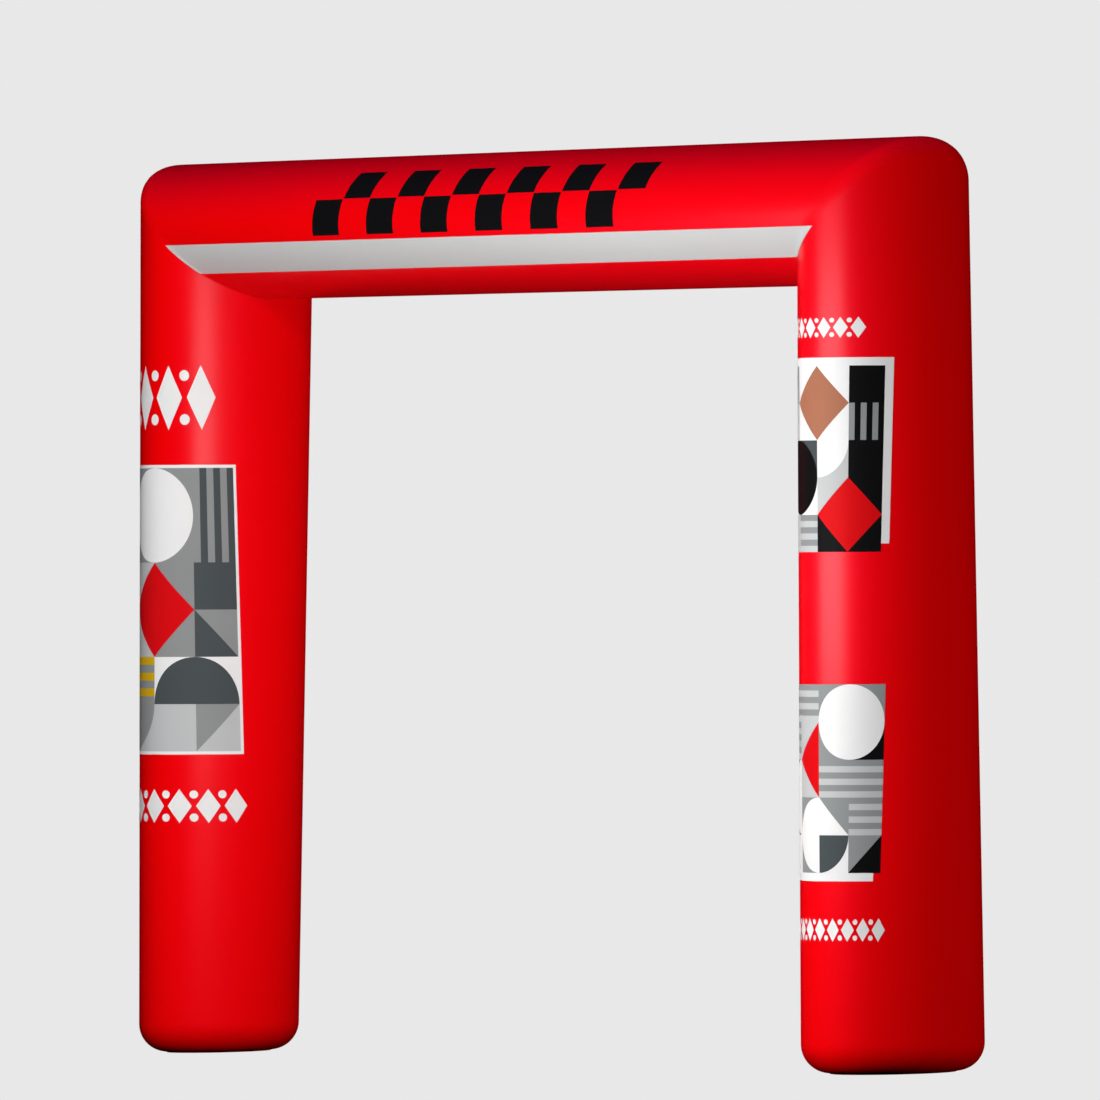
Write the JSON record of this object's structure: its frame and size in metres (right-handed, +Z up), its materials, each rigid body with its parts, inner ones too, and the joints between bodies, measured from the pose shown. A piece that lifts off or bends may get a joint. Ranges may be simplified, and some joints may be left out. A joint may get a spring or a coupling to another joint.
{
  "type": "inflatable arch",
  "caption": "Free-standing inflatable event arch: upright oval air tubes and a mitred air beam of coated red cloth, with a pale cloth band along the lower front of the beam.",
  "frame": {"origin": "on the ground below the middle of the whole arch", "axes": "+X along the arch to its right leg, -Y out of its front, +Z up"},
  "size_m": [4.7502, 0.9176, 4.0149],
  "materials": {
    "red_skin": "smooth coated cloth, tight with air, satin gloss",
    "pale_band": "smooth white coated cloth, satin",
    "sole_cloth": "heavy coated cloth, matt",
    "print_white": "white ink printed flat on the skin",
    "print_dark": "black ink printed flat on the skin",
    "print_picture": "printed panel of plain grey, pale, dark, red and yellow shapes",
    "seam_thread": "sewn seam with red thread"
  },
  "bodies": {
    "root": {"leg_left": "red_skin", "leg_right": "red_skin", "beam": "red_skin", "front_band": "pale_band", "ground_panel_left": "sole_cloth", "ground_panel_right": "sole_cloth"}
  },
  "joints": []
}
